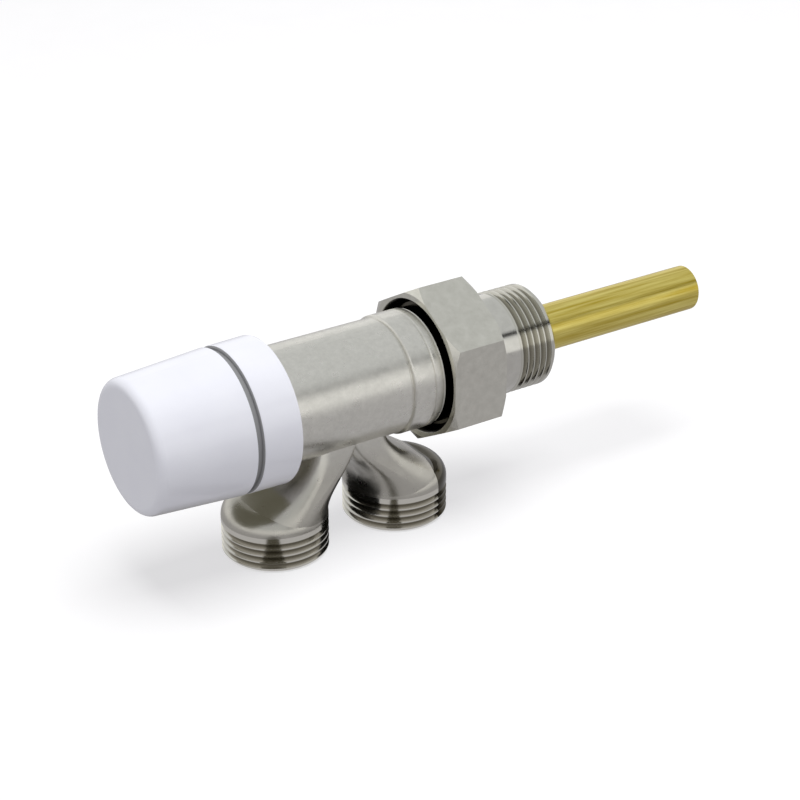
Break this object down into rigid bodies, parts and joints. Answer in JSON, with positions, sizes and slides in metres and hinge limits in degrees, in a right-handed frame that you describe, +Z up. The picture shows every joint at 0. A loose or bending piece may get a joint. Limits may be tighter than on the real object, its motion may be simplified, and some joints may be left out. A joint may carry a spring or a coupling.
{
  "type": "lockshield valve",
  "caption": "Two-pipe radiator lockshield valve: white pull-off cap, nickel barrel on a forked pair of threaded ports, hexagon union nut, threaded tail and a long brass probe tube.",
  "frame": {"origin": "midway between the two pipe ports, on their end plane, where the valve stands", "axes": "+X along the barrel from the white cap towards the probe tube; +Z up, from the port ends towards the barrel; +Y completes a right-handed frame"},
  "size_m": [0.1669, 0.0366, 0.059],
  "materials": {
    "nickel_satin": "satin",
    "nickel_nut": "satin",
    "nickel_tail": "polished",
    "white_gloss": "gloss",
    "white_gloss_ring": "gloss",
    "brass_probe": "drawn",
    "brass_bonnet": "machined",
    "brass_gland": "machined",
    "brass_spindle": "machined",
    "brass_holder": "machined",
    "brass_divider": "machined",
    "brass_slip": "machined",
    "steel_screw": "machined",
    "steel_clip": "drawn",
    "epdm_bonnet_ring": "matte",
    "epdm_stem_rings": "matte",
    "epdm_washer": "matte",
    "epdm_divider_ring": "matte",
    "epdm_probe_ring": "matte",
    "grey_guide": "matte",
    "fibre_gasket": "matte"
  },
  "bodies": {
    "valve_body": {"body": "nickel_satin", "base_ring": "white_gloss_ring", "bonnet": "brass_bonnet", "bonnet_o_ring": "epdm_bonnet_ring", "gland_nut": "brass_gland", "flow_divider": "brass_divider", "divider_o_ring": "epdm_divider_ring", "probe_o_ring": "epdm_probe_ring", "probe_tube": "brass_probe", "probe_guide": "grey_guide", "tail_gasket": "fibre_gasket", "tailpiece": "nickel_tail"},
    "shield_cap": {"cap": "white_gloss"},
    "plug": {"disc_holder": "brass_holder", "seat_washer": "epdm_washer", "washer_screw": "steel_screw", "holder_clip": "steel_clip"},
    "stem": {"spindle": "brass_spindle", "spindle_o_rings": "epdm_stem_rings"},
    "nut_carrier": {"slip_ring": "brass_slip"},
    "hex_nut": {"union_nut": "nickel_nut"}
  },
  "joints": [
    {"name": "cap_pull", "type": "slide", "parent": "valve_body", "child": "shield_cap", "axis": [-1, 0, 0], "range_m": [0, 0.03]},
    {"name": "plug_lift", "type": "slide", "parent": "valve_body", "child": "plug", "axis": [-1, 0, 0], "range_m": [0, 0.004]},
    {"name": "spindle_turn", "type": "hinge", "parent": "plug", "child": "stem", "pos_m": [-0.03, 0, 0.0382], "axis": [-1, 0, 0], "range_deg": [0, 1440]},
    {"name": "nut_travel", "type": "slide", "parent": "valve_body", "child": "nut_carrier", "axis": [1, 0, 0], "range_m": [0, 0.0081]},
    {"name": "nut_turn", "type": "hinge", "parent": "nut_carrier", "child": "hex_nut", "pos_m": [0.03, 0, 0.0382], "axis": [1, 0, 0], "range_deg": [0, 1260]}
  ],
  "couplings": [
    {"joint": "spindle_turn", "follows": "plug_lift", "rad_per_m": 6283.2},
    {"joint": "nut_travel", "follows": "nut_turn", "m_per_rad": 0.00036749}
  ]
}
